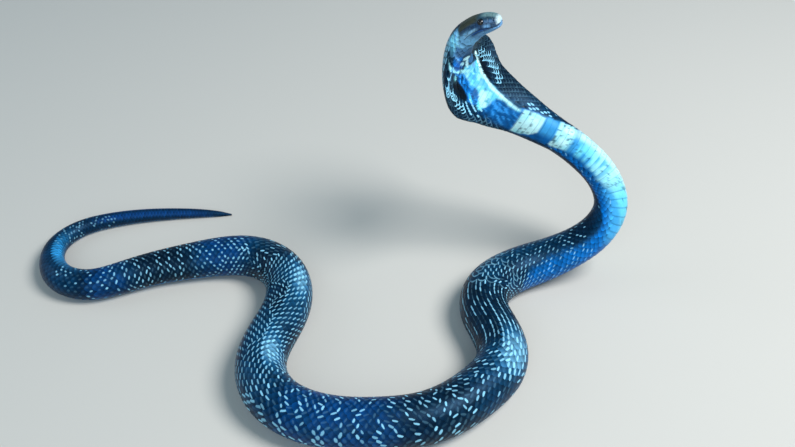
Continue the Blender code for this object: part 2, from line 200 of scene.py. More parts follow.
def trace_middle_line(steps=24):
    """Points along the middle line, close together, with the belly's direction at each."""
    knots = np.array([place[:3] for place in RAISED] + [(x, y, 0) for x, y in LYING])
    knots += (*PLACE, 0)
    belly = np.array([place[3] for place in RAISED] + [(0, 0, -1)] * len(LYING))
    lies = np.arange(len(knots)) >= len(RAISED)
    chord = np.r_[0, np.cumsum(np.linalg.norm(np.diff(knots, axis=0), axis=1))]
    knots[lies, 2] = half_sizes(chord)[2][lies] * (1 - BELLY_PRESS)
    fine = np.concatenate([np.linspace(a, b, steps, endpoint=False)
                           for a, b in zip(chord[:-1], chord[1:])] + [chord[-1:]])
    return spline_through(chord, knots, fine), spline_through(chord, belly, fine)


LINE, FACING = trace_middle_line()
ALONG = np.r_[0, np.cumsum(np.linalg.norm(np.diff(LINE, axis=0), axis=1))]
LENGTH = float(ALONG[-1])


def read_line(values, s):
    return np.stack([np.interp(s, ALONG, values[:, k]) for k in range(3)], -1)


def skin_rings(s, angles):
    """Points of the solids' surface: one ring for each distance, one point for each angle.

    Angles run from the middle of the back, 0, over the right side to the belly, pi.
    """
    wing = size_at(WINGS, s) / 1000
    chord = SHORT_CHORD + RIB_CHORD * wing / WING_MOST
    middle = read_line(LINE, s)
    tailward = unit(read_line(LINE, s + chord) - read_line(LINE, s - chord))
    belly = read_line(FACING, s)
    belly = unit(belly - tailward * (belly * tailward).sum(-1, keepdims=True))
    right = np.cross(tailward, belly)
    half_width, back, depth = [size[:, None] for size in half_sizes(s)]
    wing, spread = wing[:, None], wing[:, None] / WING_MOST
    squareness = 2 + (HEAD_SQUARENESS - 2) * (1 - ramp(0.7, 1.2, s / HEAD_LENGTH))
    power = 2 / squareness[:, None]
    sine, cosine = np.sin(angles)[None, :], np.cos(angles)[None, :]
    q, c = np.abs(sine) ** power, np.abs(cosine) ** power
    over = cosine > 0
    hollow = 1 + spread * np.where(over, BACK_HOLLOW, THROAT_HOLLOW)
    rim = spread * WING_RIM
    height = np.where(over, back, -depth) * ((1 - rim) * c ** hollow + rim * c ** 0.5)
    sideways = half_width * q + wing * q ** WING_SPREAD
    height = height - WING_CURL * spread * (sideways / (half_width + wing)) ** 2
    sideways = np.sign(sine) * sideways
    points = (middle[:, None] + right[:, None] * sideways[..., None]
              - belly[:, None] * height[..., None])
    return points, sideways, height


# The surface as a table: rows by distance from the snout, columns by the share of the way
# round the body, from the back (0) over the right side and the belly (0.5) and round again
ROWS = np.r_[np.linspace(0, 0.006, 30), np.linspace(0.0063, 0.05, 140),
             np.arange(0.051, LENGTH, 0.001), LENGTH]
COLUMNS = 288


def chart_surface():
    angles = np.linspace(0, 2 * np.pi, 4 * 360 + 1)
    share = np.linspace(0, 1, COLUMNS + 1)
    _, sideways, height = skin_rings(ROWS, angles)
    step = np.hypot(np.diff(sideways, axis=1), np.diff(height, axis=1))
    around = np.c_[np.zeros(len(ROWS)), np.cumsum(step, axis=1)]
    turn = np.stack([np.interp(share * row[-1], row, angles) for row in around])
    points = np.stack([skin_rings(ROWS[i:i + 1], turn[i])[0][0] for i in range(len(ROWS))])
    across = np.roll(points[:, :-1], -1, axis=1) - np.roll(points[:, :-1], 1, axis=1)
    across = np.concatenate([across, across[:, :1]], axis=1)
    ahead = np.gradient(points, ROWS, axis=0)
    return points, unit(np.cross(ahead, across)), turn, around[:, -1]


SURFACE, OUTWARD, TURN, AROUND = chart_surface()


def read_between(cells, i, j, a, b):
    """Read a table at a share a from row i to the next and b from column j to the next."""
    near = cells[i, j] * (1 - b) + cells[i, j + 1] * b
    far = cells[i + 1, j] * (1 - b) + cells[i + 1, j + 1] * b
    return near * (1 - a) + far * a


def read_chart(chart, s, g):
    """Read a table of the surface between its rows and columns."""
    s = np.clip(s, 0, LENGTH)
    row = np.clip(np.searchsorted(ROWS, s, side="right") - 1, 0, len(ROWS) - 2)
    a = (s - ROWS[row]) / (ROWS[row + 1] - ROWS[row])
    place = np.mod(g, 1.0) * COLUMNS
    column = np.minimum(place.astype(int), COLUMNS - 1)
    b = place - column
    if chart.ndim == 3:
        a, b = a[..., None], b[..., None]
    return read_between(chart, row, column, a, b)


def on_snake(s, g, lift, lowest=0.0):
    """Points at a distance s and a share g of the way round, lifted off the surface."""
    s, g, lift = np.broadcast_arrays(s, g, lift)
    points = read_chart(SURFACE, s, g) + unit(read_chart(OUTWARD, s, g)) * lift[..., None]
    points[..., 2] = np.maximum(points[..., 2], lowest)
    return points


def around_at(s):
    """How far it is round the body."""
    return np.interp(s, ROWS, AROUND)


def plate_half(s):
    """Half the width of a belly plate."""
    return size_at(PLATE_HALF, s) / 1000


def from_belly(s, g):
    """Millimetres round the body from the middle of the underside, + to the left."""
    return (np.mod(g, 1.0) - 0.5) * around_at(s) * 1000


def from_crown(s, g):
    """Angle round the body from the middle of the back, the same on both sides."""
    angle = read_chart(TURN, s, g)
    return np.where(angle > np.pi, 2 * np.pi - angle, angle)


# ---------------------------------------------------------------- colours


def linear(hex_colour):
    """sRGB hex to linear."""
    value = np.array([int(hex_colour[k:k + 2], 16) for k in (0, 2, 4)]) / 255
    return np.where(value <= 0.04045, value / 12.92, ((value + 0.055) / 1.055) ** 2.4)


NAVY = linear("010E1C")
MIDNIGHT = linear("07243C")
TEAL = linear("022C48")
LAGOON = linear("04344F")
ROYAL = linear("02315E")
AZURE = linear("0464AC")
SKY = linear("46AAE0")
CYAN = linear("70D8EC")
ICE = linear("A4EEF4")
WHITE = linear("CCFBF8")
BLACK = linear("02060C")
SLATE = linear("35597E")
CHEEK = linear("86C6EE")
OLIVE = linear("44442C")
UNDERSIDE = linear("3E86C0")


def patches(x, y, seed):
    """Soft random patches from 0 to 1, one patch to a unit of x and y."""
    cells = np.random.default_rng(SEED + seed).random((256, 256))
    x, y = np.broadcast_arrays(np.asarray(x, float) + 1000, np.asarray(y, float) + 1000)
    i, j = np.floor(x).astype(int), np.floor(y).astype(int)
    a, b = ramp(0, 1, x - i), ramp(0, 1, y - j)
    last = len(cells) - 1
    return read_between(cells, i % last, j % last, a, b)


def paint(under, *layers):
    """Lay colours over what is there, one by one, each with its share at every place."""
    for colour, share in layers:
        if isinstance(colour, str):
            colour = linear(colour)
        under = under + (colour - under) * np.clip(share, 0, 1)[..., None]
    return under


def blend(under, value, share):
    """Lay one number over another, as paint does with colours."""
    return under + (value - under) * share


def between(low, high, x, soft):
    """1 between two edges, with soft borders."""
    return ramp(low - soft, low + soft, x) * (1 - ramp(high - soft, high + soft, x))


# Edges of the markings across the belly, in millimetres: distance from the snout, then the
# right and the left edge, counted from the middle of the belly, + to the left.
PALE_THROAT = [(62, -9, 14), (74, -12, 20), (81, -12, 20.5), (88, -11, 16), (94, -10.5, 12.5),
               (101, -10.5, 9), (105, -13, 7.5), (108, -22, 6), (112, -24, 4), (116, -19, 3),
               (119, -12, 2.4), (121, -5, 1.8), (126, -3, 1.2), (134, -1.8, 1.2), (147, -0.4, 2)]
BRIGHT_CURVE = [(74, 18.5, 22), (81, 17.5, 21.5), (88, 12.5, 17), (94, 8, 13.5), (101, 4, 9.5),
                (108, 1, 6), (114, -1, 3), (121, -1.5, 2), (132, -0.8, 1.2), (147, 0.4, 1.6)]
BLUE_THROAT = [(49, -24, -14), (55, -27, -12), (60, -26, -20), (66, -26, -24), (69, -21, -14),
               (74, -24, -12), (82, -25, -10), (98, -27, -9), (105, -24, -12), (108, -20, -16),
               (112, -27, -20), (116, -26, -8), (120, -25.5, 0), (130, -24.5, 1), (147, -22, 2),
               (152, -21, 6), (172, -17, 9), (186, -18, 11), (204, -19, 15), (223, -21, 20),
               (248, -27, 25), (276, -30, 28), (302, -26, 29), (328, -34, 30), (344, -40, 30),
               (361, -44, 28), (376, -46, 27), (392, -45, 26), (404, -41, 22), (414, -33, 18)]
PALE_BELLY = [(203, -14, 14), (212, -11, 19), (223, -11, 20), (234, -13.5, 21), (248, -16, 22),
              (258, -15.5, 24), (268, -14, 24), (280, -12, 25), (296, -8, 25), (312, -3, 24),
              (330, 4, 22)]
FIRST_BAND = [(149.5, -21.5, 3), (154, -20, 5), (160, -18, 6), (166, -15, 7), (171, -9, 7.5)]
SECOND_BAND = [(187, -15, 11), (192, -16, 12), (198, -14.5, 14), (204, -13, 16)]
# Small marks on the throat, each in its place: colour, distance from the snout, how far
# from the middle of the belly, half length, half width and lean
THROAT_MARKS = [
    ("2A70A4", 67, 4.5, 7.5, 6.5, 0.6), ("1A60B0", 59.5, -18, 6, 6.5, 0.5),
    ("5A96CC", 50, -20.5, 5.5, 1.8, 0.6), ("B4F4FC", 60, -12.5, 2.4, 3, 0.6),
    ("D4FFFF", 56, -6.5, 2.8, 4.8, 1), ("C8FBFF", 64.5, -5.2, 7.5, 2.2, 0),
    ("7AB4E0", 79, 5.5, 2.6, 4, 0.8), ("2A90B8", 84.5, 1.5, 3, 2.4, 0),
    ("4A9ED8", 88.5, -4, 3.2, 2.8, 0), ("5CC4D4", 97, -4.5, 2.4, 2, 0),
    ("3C9CA8", 108, -4.5, 1.8, 1.6, 0), ("4CB0B8", 115, -13, 2.2, 1.2, 0),
    ("8CE4EC", 69, -26, 4, 1.6, -0.5), ("6AB0DC", 64, -36.5, 6, 1.6, -1.2),
    ("1C5C90", 58, -29, 3, 1.4, 0)]
# The nets of white-edged scales outside the two dark spots
RIGHT_NET = [(58, -38, -31), (64, -42, -34), (70, -43, -35), (80, -42, -34), (90, -40.5, -33),
             (98, -38, -31)]
LEFT_NET = [(78, 23, 31), (82, 22, 34), (88, 24, 37), (94, 24.5, 37), (100, 23, 35),
            (107, 20, 31), (113, 13, 26), (118, 9, 19)]
# Pale dashes below the right net and where the hood ends on the left, and pale beads along
# the hood's right rim
RIGHT_DASHES = [(92, -31, -27), (97, -36, -23), (103, -36, -21), (109, -33, -20), (113, -29, -20)]
LEFT_DASHES = [(144, 6, 11), (156, 8, 14), (172, 10, 17)]
RIGHT_RIM = [(44, -44, -30), (50, -52, -33), (57, -60, -42), (62, -66, -46), (67, -62, -50)]
# Where the belly plates run, against the middle of the underside
PLATE_MIDDLE = [(30, 0), (55, -2), (80, -1), (105, -5), (125, -10), (147, -9.5), (165, -6),
                (190, -1), (215, 1), (250, 0), (1410, 0)]

# Stretches of the back: how much darker, from, to and soft border, and then the bluer ones
DARK_BANDS = ((0.75, 448, 530, 12), (0.85, 1025, 1085, 14), (0.78, 590, 655, 12),
              (0.65, 922, 955, 12))
BLUE_BANDS = ((640, 745, 20), (970, 1020, 14), (1095, 1125, 10))
# Painted sheen, pale close-set patches on top of the bends where light glints off the
# loops: strength, distance from the snout, half length, how far from the middle of the
# belly, and half width
PAINTED_SHEEN = ((1.0, 535, 20, -56, 15), (0.78, 803, 24, 57, 12), (0.85, 897, 20, 53, 9))


def inside(table, mm, side, soft=1.2, fray=0.0, fade=None):
    """1 inside a marking, from a table of its right and left edges, with soft borders."""
    rows = np.array(table, float)
    right = np.interp(mm, rows[:, 0], rows[:, 1]) + fray
    left = np.interp(mm, rows[:, 0], rows[:, 2]) + fray
    ends = between(rows[0, 0], rows[-1, 0], mm, fade or soft)
    return ends * ramp(-soft, soft, side - right) * ramp(-soft, soft, left - side)


def oval(mm, side, centre, half_length, half_width, lean=0.0):
    """1 inside an oval marking, whose long side follows the body with a lean."""
    off = (side - centre[1] - lean * (mm - centre[0])) / half_width
    far = ((mm - centre[0]) / half_length) ** 2 + off ** 2
    return 1 - ramp(0.75, 1.2, far)


def dark_spots(mm, side):
    """1 inside the two dark spots of the throat."""
    return np.maximum(oval(mm, side, (83, -26.8), 13.5, 5.6, 0.08),
                      oval(mm, side, (96, 17.2), 13.0, 5.2, -0.62))


def plate_middle(s):
    """How far the belly plates' middle lies from the middle of the underside."""
    rows = np.array(PLATE_MIDDLE, float)
    return np.interp(np.asarray(s) * 1000, rows[:, 0], rows[:, 1]) / 1000


def markings(s, g):
    """Colour of the snake at a place on it. Sizes are in millimetres."""
    s, g = np.broadcast_arrays(np.asarray(s, float), np.asarray(g, float))
    mm, side = s * 1000, from_belly(s, g)
    back = around_at(s) * 500 - np.abs(side)
    off_plates = np.abs(side - plate_middle(s) * 1000) - plate_half(s) * 1000
    coarse, broad = patches(mm / 22, side / 14, 1), patches(mm / 30, side / 22, 7)
    fine = patches(mm / 7, side / 6, 2)
    fray = 2.6 * (patches(mm / 4.5, side / 4, 3) - 0.5)

    # Dark back, bluer in patches where the body lies in loops, with a painted sheen on top of
    # the bends, painted shade over the hood, a painted highlight on the tail's bend, and a thin
    # blue painted highlight along the top of the tail
    royal = np.max([between(start, end, mm, soft) for start, end, soft in BLUE_BANDS], axis=0)
    sheen_share = painted_sheen(mm, side)
    # A painted highlight on the tail's bend, where light glints off it
    bend = np.exp(-((mm - 1190) / 30) ** 2 - ((side - 30 + 0.16 * (mm - 1188)) / 8.0) ** 2)
    colour = paint(
        NAVY, (TEAL, 0.25 + 0.7 * ramp(0.3, 0.75, coarse)),
        (LAGOON, 0.75 * between(340, 1040, mm, 60) * ramp(0.35, 0.8, broad)),
        (ROYAL, royal * (0.45 + 0.55 * ramp(0.25, 0.6, fine))),
        *[(NAVY, dark * between(start, end, mm, soft)) for dark, start, end, soft in DARK_BANDS],
        # Painted shade over the hood, deepest on its left wing
        (NAVY, between(52, 150, mm, 12) * (0.4 + 0.4 * ramp(-5, 5, side))),
        # Painted sheen on top of the bends, greyer at its middle
        ("1D628C", sheen_share), ("5E8FA4", 0.7 * ramp(0.45, 0.9, sheen_share)),
        # A darker tail, and the painted highlight on its bend
        (MIDNIGHT, 0.8 * ramp(1190, 1240, mm)), ("2E90C8", 0.9 * bend),
        # A thin blue painted highlight along the top of the tail
        ("0A3C78", 0.55 * between(2, 8, back, 1.5) * between(1270, 1385, mm, 12)),
        (NAVY, 0.45 * between(345, 410, mm, 10) * ramp(-42, -50, side)))

    # Blue underside of the neck, flecked, paler towards its front bend
    flecks = ramp(0.25, 0.7, patches((mm + 1.2 * side) / 4.0, side / 1.8, 13))
    deep = (0.55 * flecks * between(68, 180, mm, 4) + 0.3 * ramp(318, 360, mm)
            + 0.5 * ramp(388, 418, mm))
    streaks = ramp(0.52, 0.80, patches((mm + 0.8 * side) / 3.4, side / 2.0, 4))
    blue = paint(
        AZURE, (ROYAL, deep), ("38A0EE", 0.85 * streaks * between(68, 150, mm, 6)),
        (MIDNIGHT, 0.8 * between(108, 150, mm, 6) * ramp(-17, -24, side)),
        (SKY, between(264, 312, mm, 8) * ramp(-26, -14, side)),
        (SKY, 0.7 * between(170, 188, mm, 4) * ramp(-12, -4, side)))

    # Pale throat, with a lace border in front and a bright curved edge on the left
    streaks = ramp(0.45, 0.66, patches(mm / 3.6, side / 2.4, 9))
    throat = paint(CYAN, (ICE, ramp(0.30, 0.60, fine)),
                   (SKY, 0.70 * streaks * between(66, 118, mm, 3)))
    front = ramp(-1.2, 1.2, mm - 69 - 0.63 * (side + 6))
    lace = np.abs(mm - 70 - 0.87 * (side + 13)) + 0.5 * fray
    lace = (1 - ramp(1.6, 3.2, lace)) * between(-31, -4, side, 1.5)
    marks = [(shade, 0.9 * oval(mm, side, (at, aside), half_length, half_width, lean))
             for shade, at, aside, half_length, half_width, lean in THROAT_MARKS]

    # Where the belly lies on the floor it is paler
    under = (1 - ramp(-1.0, 2.5, off_plates)) * (1 - ramp(1385, 1398, mm))
    soft = 1.4 + 5.0 * ramp(290, 350, mm)
    colour = paint(
        colour, (TEAL, under), (UNDERSIDE, under * ramp(380, 430, mm)),
        (blue, inside(BLUE_THROAT, mm, side, soft, fray)),
        (throat, inside(PALE_THROAT, mm, side, 1.3, fray) * front), (ICE, lace),
        (WHITE, 0.8 * oval(mm, side, (110, -13), 6.0, 6.0, -0.6)),
        (WHITE, inside(BRIGHT_CURVE, mm, side, 0.8, fray * 0.3)),
        *marks, (BLACK, dark_spots(mm, side)))

    # Two white bands below the hood, with a few dark dots, and the mottled pale belly
    dots = ramp(0.78, 0.84, patches(mm / 2.0, side / 2.2, 5))
    for band in (FIRST_BAND, SECOND_BAND):
        here = inside(band, mm, side, 1.0, fray * 0.6)
        colour = paint(colour, (WHITE, here), (ICE, here * 0.8 * ramp(0.35, 0.6, fine)),
                       (TEAL, here * dots * 0.8))
    belly = inside(PALE_BELLY, mm, side, 3.0, fray, 14) * ramp(200, 206, mm)
    cross = patches(mm / 3.4, side / 9, 6)
    mottle = ramp(0.42, 0.56, cross) * (1 - ramp(238, 262, mm))
    pale = paint(
        CYAN, (ICE, between(232, 268, mm, 12)), (SKY, mottle * (1 - ramp(2, 9, side))),
        # Towards the left edge it is white, a painted highlight on the outer rim of the neck's bend
        (WHITE, 0.9 * ramp(1, 9, side) * (1 - 0.7 * ramp(262, 300, mm))),
        (SKY, 0.5 * ramp(262, 305, mm) * (1 - 0.6 * ramp(8, 18, side))))

    # Neck behind the head: pale blue sides, a slate collar
    neck = between(20, 46, mm, 4) * ramp(5, 11, back)
    off = np.abs(side)
    mottle = ramp(0.5, 0.7, patches(mm / 2.6, side / 3.0, 15))
    cheek = paint(
        CHEEK, (SLATE, 0.6 * ramp(0.45, 0.7, fine)),
        (CYAN, 0.6 * between(38, 48, mm, 3) * ramp(20, 28, off)),
        (ICE, 0.65 * mottle * ramp(28, 38, mm) * ramp(14, 22, off)))
    collar = between(42, 51, mm - 0.1 * side, 2) * between(-23, 22, side, 3)

    # Back of the hood: two faint pale rings joined by a bow
    ring = np.abs(np.hypot(mm - 88, (back - 13) * 1.15) - 6.5)
    bow = np.abs(np.hypot(mm - 94, back) - 12.0) + 20 * ramp(97, 92, mm)
    mark = 1 - ramp(0.8, 2.0, np.minimum(ring, bow))
    return paint(colour, (pale, belly), (TEAL, belly * 0.6 * dots), (cheek, neck),
                 (SLATE, 0.9 * collar), (CYAN, mark * 0.6 * (back < 30)))


def painted_sheen(mm, side):
    """Painted sheen: pale, close-set patches on top of the bends, where light glints off the loops.
    """
    spots = [share * np.exp(-((mm - at) / length) ** 2 - ((side - aside) / width) ** 2)
             for share, at, length, aside, width in PAINTED_SHEEN]
    return np.clip(1.25 * np.max(spots, axis=0), 0, 1)


# ---------------------------------------------------------------- meshes


def mesh_of(bm, name):
    """Turn a bmesh into a mesh."""
    mesh = bpy.data.meshes.new(name)
    bm.to_mesh(mesh)
    bm.free()
    return mesh


def show(name, data):
    """Put something in the scene."""
    thing = bpy.data.objects.new(name, data)
    bpy.context.scene.collection.objects.link(thing)
    return thing


def as_piece(mesh, finish, nodes=()):
    """Make a mesh a piece of the snake, in place of the nodes of the solids, if named."""
    mesh.shade_smooth()
    mesh.materials.append(finish)
    piece = show(mesh.name, mesh)
    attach(piece, "root")
    if nodes:
        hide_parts(*nodes)
    return piece


def keep_values(piece, name, values):
    """Store a number or a colour at each point of a piece."""
    kind, key = ("FLOAT_COLOR", "color") if values.ndim == 2 else ("FLOAT", "value")
    if values.ndim == 2:
        values = np.c_[values, np.ones(len(values))]
    layer = piece.data.attributes.new(name, kind, "POINT")
    layer.data.foreach_set(key, values.astype(np.float32).ravel())


# The unwrap lies in even strips, and each scale is a patch this wide on it
STRIPS = 8
MAP_PATCH = 0.003


def unwrap_place(s, g):
    """Where a place on the snake lies on the flat unwrap of its skin, in even strips."""
    strip = np.minimum(np.floor(s / LENGTH * STRIPS), STRIPS - 1)
    return s / LENGTH * STRIPS - strip, (strip + 0.04 + 0.92 * np.mod(g, 1.0)) / STRIPS


def write_map(piece, u, v):
    """Give a piece the map that its colours are baked to, from values at its points."""
    layer = piece.data.uv_layers.new(name="OFBake")
    corner = np.zeros(len(piece.data.loops), dtype=np.int32)
    piece.data.loops.foreach_get("vertex_index", corner)
    layer.data.foreach_set("uv", np.stack([u[corner], v[corner]], -1).astype(np.float32).ravel())


# Head shields, on the right half: name, then places by distance from the snout in
# millimetres and degrees from the crown
SHIELDS = {
    "nose_tip": [(0.3, 0), (0.3, 60), (0.9, 85)],
    "behind_nose": [(3.3, 24)],
    "before_brow": [(7.4, 27)],
    "crown": [(12, 0), (15.5, 0)],
    "over_eye": [(12.2, 34), (16.8, 33)],
    "crown_rear": [(21.5, 18), (26, 19)],
    "nostril_front": [(2.4, 62)],
    "nostril_rear": [(6.2, 60)],
    "before_eye": [(10.4, 58)],
    "behind_eye_1": [(19.4, 50)],
    "behind_eye_2": [(19.9, 64)],
    "behind_eye_3": [(19.5, 78)],
    "temple_1": [(24, 52)],
    "temple_2": [(24.2, 72)],
    "temple_3": [(28.6, 48)],
    "temple_4": [(28.8, 66)],
    "temple_5": [(29.2, 84)],
    "nape_1": [(31, 10)],
    "nape_2": [(31.5, 30)],
    "chin_1": [(4.6, 155), (7.2, 158)],
    "chin_2": [(11.5, 162), (14.5, 163)],
    "chin_tip": [(0.9, 180), (0.9, 150)],
}
# Shields of the lips, by distance alone, since they follow the mouth line
UPPER_LIP = [1.9, 5, 8.8, 13.2, 18, 23, 28.6]
LOWER_LIP = [1.9, 4.6, 8, 12, 16.4, 20.8, 25.2, 29.6]


def mouth_angle(s):
    """Angle round the head at which the lips meet."""
    under = size_at(MOUTH, np.minimum(s, MOUTH_END)) / 1000
    depth = half_sizes(np.minimum(s, MOUTH_END))[2]
    return np.pi - np.arccos((under / depth) ** (HEAD_SQUARENESS / 2))


def head_spot(s, angle):
    """A place on the head by distance and angle, and the way out of the head there."""
    g = np.interp(angle, TURN[np.searchsorted(ROWS, s)], np.linspace(0, 1, COLUMNS + 1))
    s, g = np.array([s]), np.array([g])
    return on_snake(s, g, 0.0)[0], unit(read_chart(OUTWARD, s, g))[0]


def shield_places():
    """Every shield's place, on both sides, with a number for each shield."""
    found, number = [], 0
    names = {name: [(mm / 1000, np.radians(degrees)) for mm, degrees in places]
             for name, places in SHIELDS.items()}
    for lip, row, off_mouth in (("upper", UPPER_LIP, -14), ("lower", LOWER_LIP, 13)):
        for k, mm in enumerate(row):
            angle = mouth_angle(mm / 1000) + np.radians(off_mouth)
            names[f"{lip}_lip_{k}"] = [(mm / 1000, angle)]
    # The throat has five staggered rows of small shields
    for k in range(5):
        for row in range(3):
            degrees = 128 + 17 * row + 8.5 * (k % 2)
            names[f"throat_{k}_{row}"] = [(0.0185 + 0.0034 * k, np.radians(degrees))]
    for name, places in names.items():
        middle = name in ("nose_tip", "chin_tip")
        middle |= all(abs(np.sin(angle)) < 0.01 for _, angle in places)
        for mirrored in (False, True):
            for s, angle in places:
                turned = 2 * np.pi - angle if mirrored else angle
                found.append((head_spot(s, turned)[0], number))
            if not middle:
                number += 1
        number += 1
    return np.array([place for place, _ in found]), np.array([n for _, n in found])


def bump(x, width):
    """1 at 0, falling softly to nothing over a width or two."""
    return np.exp(-(x / width) ** 2)


def head_relief(s, g, points):
    """How far the head's skin stands out of its plain form, how dark and what tone it is.

    Heights and widths are in metres. The mouth and the seams between shields are grooves,
    the lips and brows swell, and the eyes and nostrils sit in pits with a raised rim.
    """
    angle, girth = from_crown(s, g), half_sizes(s)[0]
    lip = (angle - mouth_angle(s)) * girth
    fade = ramp(0.0, 0.0012, s) * (1 - ramp(MOUTH_END - 0.002, MOUTH_END, s))
    mouth = bump(lip, 0.00032) * fade
    relief = -0.0006 * mouth + 0.0003 * bump(np.abs(lip) - 0.0016, 0.0011) * fade
    along = (s - EYE_FROM_SNOUT + 0.0006) / 0.0038
    up = (angle - EYE_ANGLE) * girth + 0.0034
    relief += 0.0007 * np.exp(-along ** 4 - (up / 0.0010) ** 2)

    # Each place belongs to the nearest shield; a seam runs where two are as near
    places, numbers = shield_places()
    nearest, second = np.full(len(s), 1.0), np.full(len(s), 1.0)
    owner = np.full(len(s), -1)
    for number in np.unique(numbers):
        away = np.full(len(s), 1.0)
        for place in places[numbers == number]:
            away = np.minimum(away, np.linalg.norm(points - place, axis=1))
        closer = away < nearest
        second = np.where(closer, nearest, np.minimum(second, away))
        owner = np.where(closer, number, owner)
        nearest = np.where(closer, away, nearest)
    shielded = 1 - ramp(0.031, 0.035, s)
    seam = bump(second - nearest, 0.00042) * shielded
    relief += (0.00012 * ramp(0.0, 0.0016, second - nearest) - 0.00020 * seam) * shielded

    for turn in (EYE_ANGLE, 2 * np.pi - EYE_ANGLE):
        spot, out = head_spot(EYE_FROM_SNOUT, turn)
        off = points - spot
        away = np.linalg.norm(off - (off @ out)[:, None] * out, axis=1)
        away = np.where(off @ out > -0.004, away, 1.0)
        calm = ramp(0.0024, 0.0040, away)
        relief = relief * calm + (1 - calm) * 0.0001
        relief += 0.00022 * bump(away - 0.0031, 0.0004)
        relief -= 0.0016 * (1 - ramp(0.0019, 0.0027, away))
        seam = np.maximum(seam * calm, bump(away - EYE_OPENING, 0.0003))
    pit = np.zeros(len(s))
    for turn in (NOSTRIL_ANGLE, 2 * np.pi - NOSTRIL_ANGLE):
        away = np.linalg.norm(points - head_spot(NOSTRIL_FROM_SNOUT, turn)[0], axis=1)
        pit = np.maximum(pit, bump(away, 0.00055))
        relief += 0.00015 * bump(away - 0.0010, 0.0003)
    relief -= 0.0009 * pit
    dark = np.clip(np.maximum(np.maximum(mouth, pit), 0.55 * seam), 0, 1)
    tone = np.random.default_rng(SEED).random(owner.max() + 2)[owner]
    return relief, dark, tone


def head_colour(s, g, colour, dark, tone):
    """Head markings: olive crown, slate sides, pale lips, dark seams, and painted highlights on the
    snout and the rear of the upper lip.
    """
    mm, angle = s * 1000, np.degrees(from_crown(s, g))
    top = 1 - ramp(48, 66, angle)
    head = paint(
        linear("2C4A66"),
        ("4E7396", 0.8 * between(56, 80, angle, 8) * between(4, 12, mm, 3)),
        ("6FA6D0", 0.9 * between(84, 100, angle, 5) * between(8, 13.5, mm, 2)),
        ("123A5E", 0.8 * between(66, 98, angle, 8) * between(14, 21, mm, 2)),
        ("124A86", 0.85 * between(95, 107, angle, 4) * between(9, 25, mm, 3)),
        ("6CA2CE", ramp(106, 120, angle) * 0.85),
        (CHEEK, ramp(21, 28, mm) * ramp(66, 84, angle) * 0.9),
        # A pale streak along the rear of the upper lip, a painted highlight on the lip's edge
        ("9CD0F0", 0.75 * between(19, 30, mm, 2) * between(84, 96, angle, 4)),
        ("1D3F50", top),
        # A painted highlight along the top of the snout
        ("86A8A2", 0.55 * (1 - ramp(22, 44, angle)) * between(2, 14, mm, 3)),
        (OLIVE, top * ramp(14, 20, mm) * 0.9),
        # The snout's tip: partly a pale scale and partly a painted highlight
        ("D4EAE8", (1 - ramp(0.8, 3.4, mm)) * (angle < 96) * 0.85))
    head = paint(head * (0.86 + 0.28 * tone)[:, None], (BLACK, dark * 0.8))
    return paint(colour, (head, 1 - ramp(30, 40, mm)))


def wrapped_grid(columns, stations):
    """A flat grid, one column for each step round the body and one row for each station.

    Also gives, for each point, its row's distance from the snout and its share round.
    """
    bm = bmesh.new()
    bmesh.ops.create_grid(bm, x_segments=columns, y_segments=len(stations) - 1, size=0.5)
    flat = np.array([v.co for v in bm.verts])
    row = np.rint((flat[:, 1] + 0.5) * (len(stations) - 1)).astype(int)
    return bm, np.asarray(stations)[row], flat[:, 0] + 0.5


def place_points(bm, points):
    for v, point in zip(bm.verts, points):
        v.co = point


# Where the head's fine skin passes into the body's coarser one, and how low the skin may
# reach, so that only the belly plates touch the floor
HEAD_SKIN_END = 0.0470
SKIN_LOWEST = 0.0004


